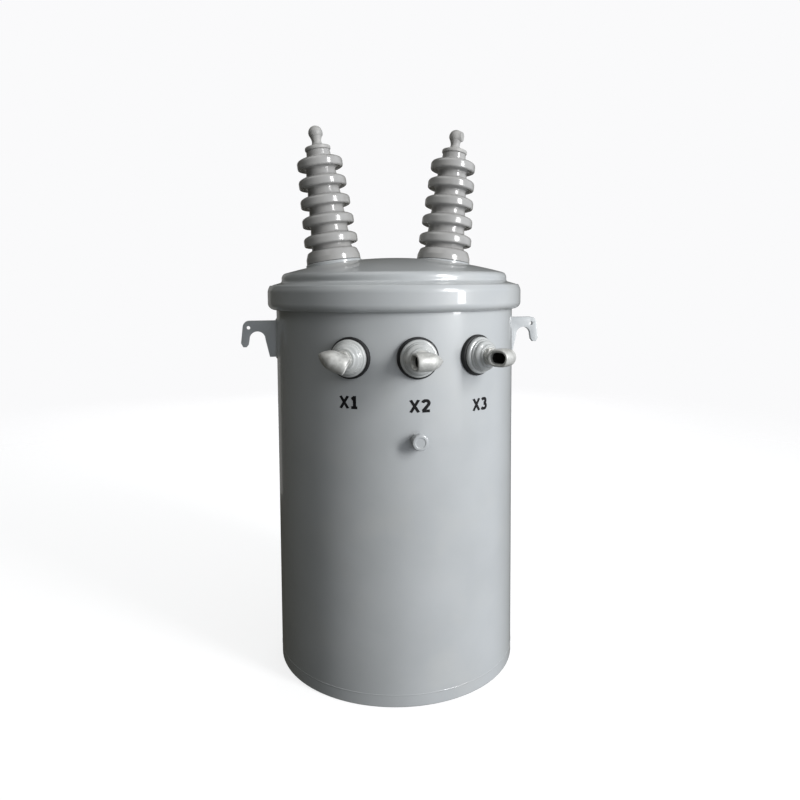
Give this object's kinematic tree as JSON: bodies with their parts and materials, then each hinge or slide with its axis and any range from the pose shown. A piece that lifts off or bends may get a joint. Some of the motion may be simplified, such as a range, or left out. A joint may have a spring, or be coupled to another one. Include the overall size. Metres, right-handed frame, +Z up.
{
  "type": "pole mounted transformer",
  "caption": "Single-phase pole mounted distribution transformer: round grey tank with a banded dome cover, high- and low-voltage bushings, lifting lugs and pole brackets.",
  "frame": {"origin": "centre of the tank's flat bottom", "axes": "+Z up along the tank, -Y towards the middle low-voltage bushing, +Y towards the pole"},
  "size_m": [0.518, 0.5141, 0.9106],
  "materials": {
    "tank_paint": "gloss",
    "porcelain": "glazed",
    "gasket": "matt",
    "tinned": "tinned",
    "plate": "satin"
  },
  "bodies": {
    "root": {"tank_shell": "tank_paint", "tank_bottom": "tank_paint", "cover": "tank_paint", "cover_band": "tank_paint", "band_ears": "tank_paint", "band_bolt": "tinned", "hv_seat_left": "tank_paint", "hv_seat_right": "tank_paint", "hv_gasket_left": "gasket", "hv_gasket_right": "gasket", "hv_bushing_left": "porcelain", "hv_bushing_right": "porcelain", "hv_terminal_left": "tinned", "hv_terminal_right": "tinned", "lv_gasket_1": "gasket", "lv_gasket_2": "gasket", "lv_gasket_3": "gasket", "lv_bushing_1": "porcelain", "lv_bushing_2": "porcelain", "lv_bushing_3": "porcelain", "lv_nut_1": "tinned", "lv_nut_2": "tinned", "lv_nut_3": "tinned", "lv_terminal_1": "tinned", "lv_terminal_2": "tinned", "lv_terminal_3": "tinned", "relief_boss": "tank_paint", "relief_valve": "tank_paint", "lifting_lug_left": "tank_paint", "lifting_lug_right": "tank_paint", "hanger_bracket_upper": "tank_paint", "hanger_bracket_lower": "tank_paint", "ground_boss": "tinned", "plate_holder": "tank_paint", "rating_plate": "plate"}
  },
  "joints": []
}
